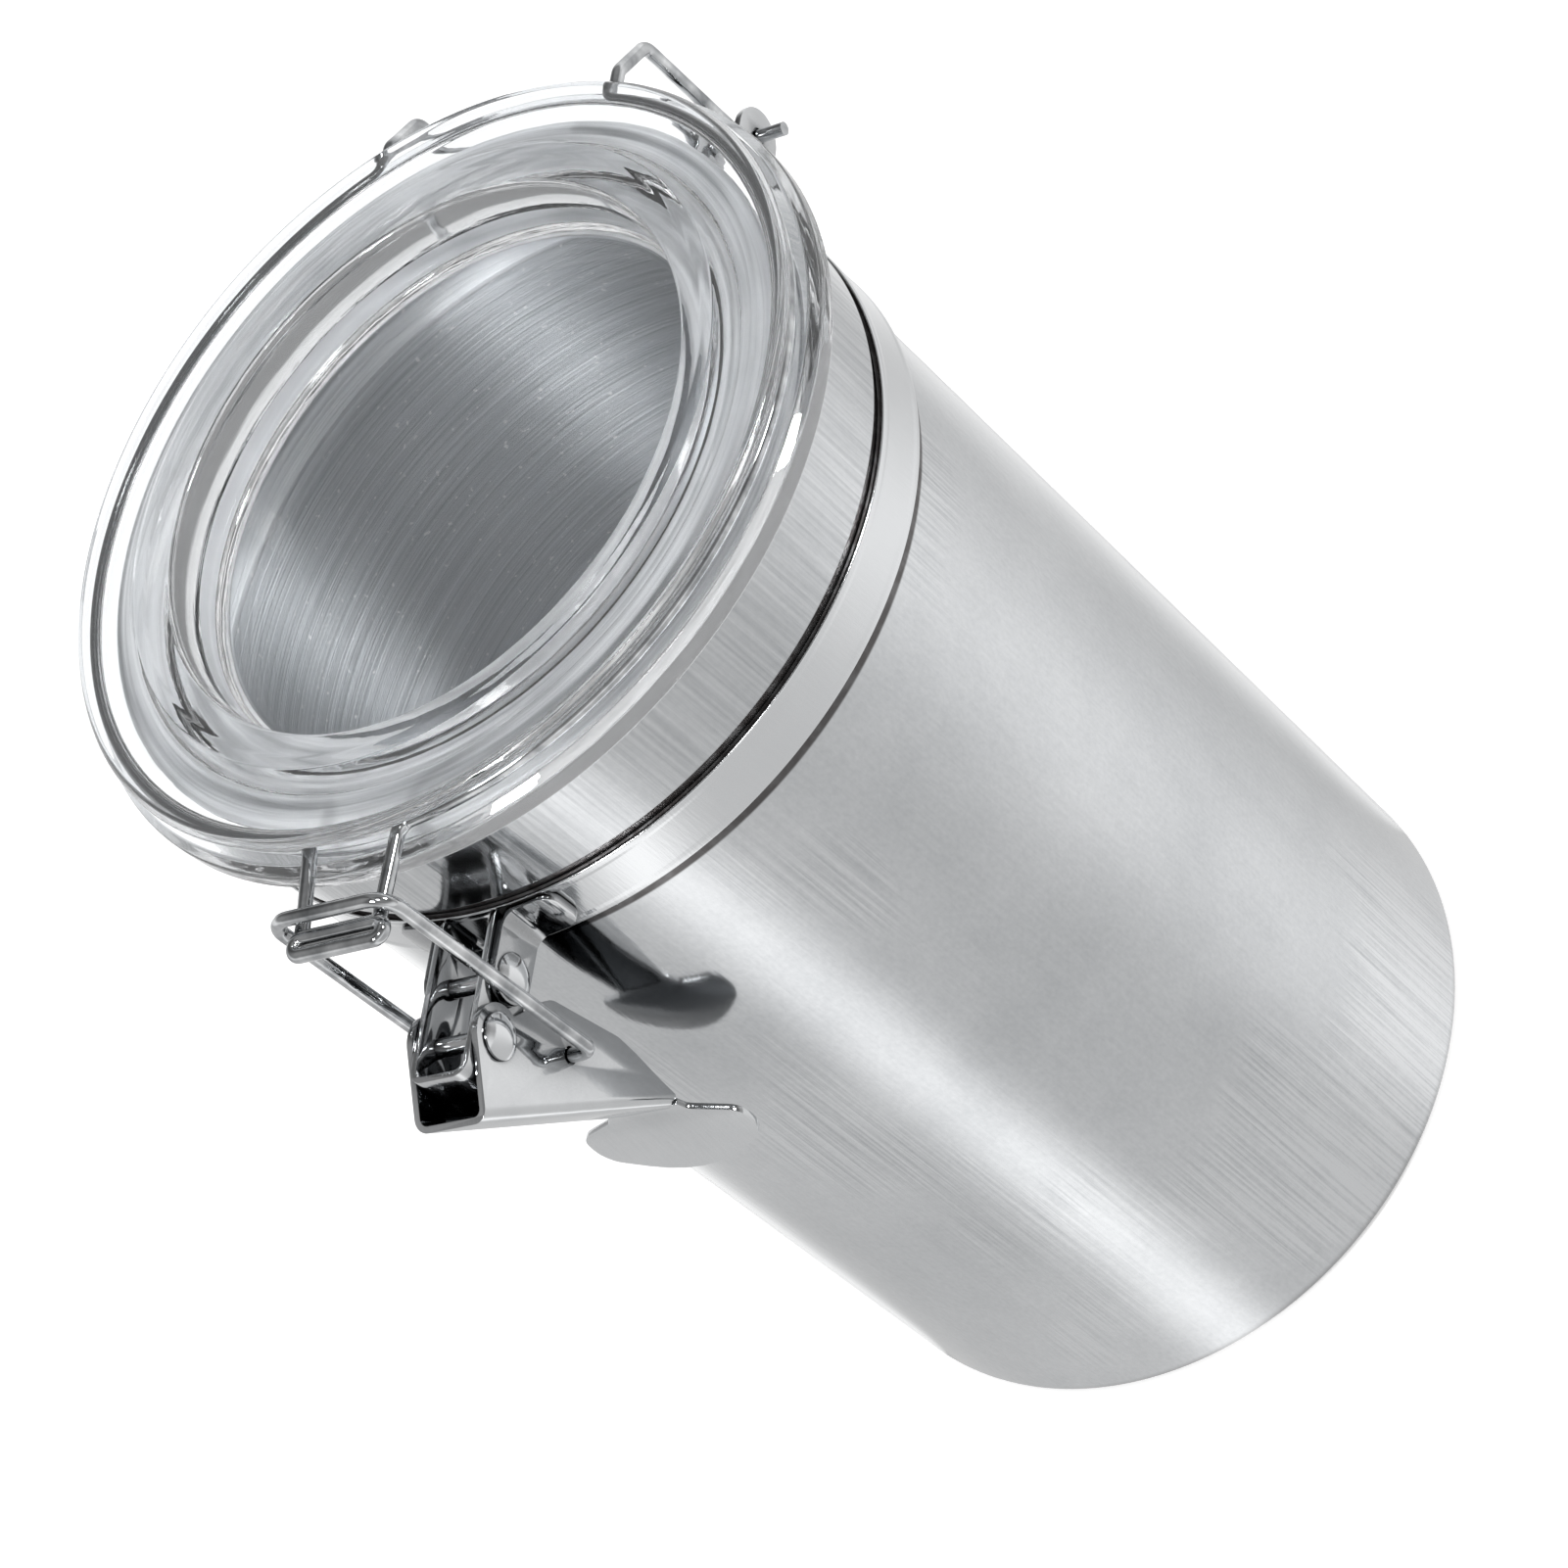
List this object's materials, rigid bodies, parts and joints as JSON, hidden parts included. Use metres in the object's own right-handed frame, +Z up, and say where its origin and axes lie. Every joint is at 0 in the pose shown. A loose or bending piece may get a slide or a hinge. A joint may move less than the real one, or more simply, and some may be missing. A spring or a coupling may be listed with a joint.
{
  "type": "storage canister",
  "caption": "Tall round brushed steel canister with a clear sunk-window lid, held by a rear wire hinge and a front lever latch with a wire bail.",
  "frame": {"origin": "middle of the resting face, on the canister's axis", "axes": "+Z up along the canister's axis, the latch faces -Y, the lid hinge is at +Y"},
  "size_m": [0.1326, 0.1711, 0.2066],
  "materials": {
    "brushed_steel": "fine lengthwise brushing",
    "bright_steel": "semi-bright sheet",
    "polished_steel": "polished",
    "steel_wire": "bright drawn wire",
    "clear_acrylic": "clear, glossy",
    "clear_silicone": "translucent, soft"
  },
  "bodies": {
    "base": {"canister_body": "brushed_steel", "neck_strap": "bright_steel", "front_ear_left": "bright_steel", "front_ear_right": "bright_steel", "latch_bracket": "bright_steel", "bracket_rivet": "polished_steel", "lever_rivet": "polished_steel", "hinge_ear_left": "bright_steel", "hinge_ear_right": "bright_steel"},
    "lid": {"lid": "clear_acrylic", "lid_gasket": "clear_silicone", "lid_wire": "steel_wire"},
    "lever": {"lever": "bright_steel"},
    "bail": {"bail_wire": "steel_wire"}
  },
  "joints": [
    {"name": "lid_hinge", "type": "hinge", "parent": "base", "child": "lid", "pos_m": [0, 0.073, 0.1718], "axis": [-1, 0, 0], "range_deg": [0, 105]},
    {"name": "lever_pivot", "type": "hinge", "parent": "base", "child": "lever", "pos_m": [0, -0.0802, 0.173], "axis": [-1, 0, 0], "range_deg": [0, 125]},
    {"name": "bail_swing", "type": "hinge", "parent": "lever", "child": "bail", "pos_m": [0, -0.0755, 0.1574], "axis": [1, 0, 0], "range_deg": [0, 160]}
  ],
  "couplings": [
    {"joint": "bail_swing", "follows": "lever_pivot", "ratio": 1.28}
  ]
}
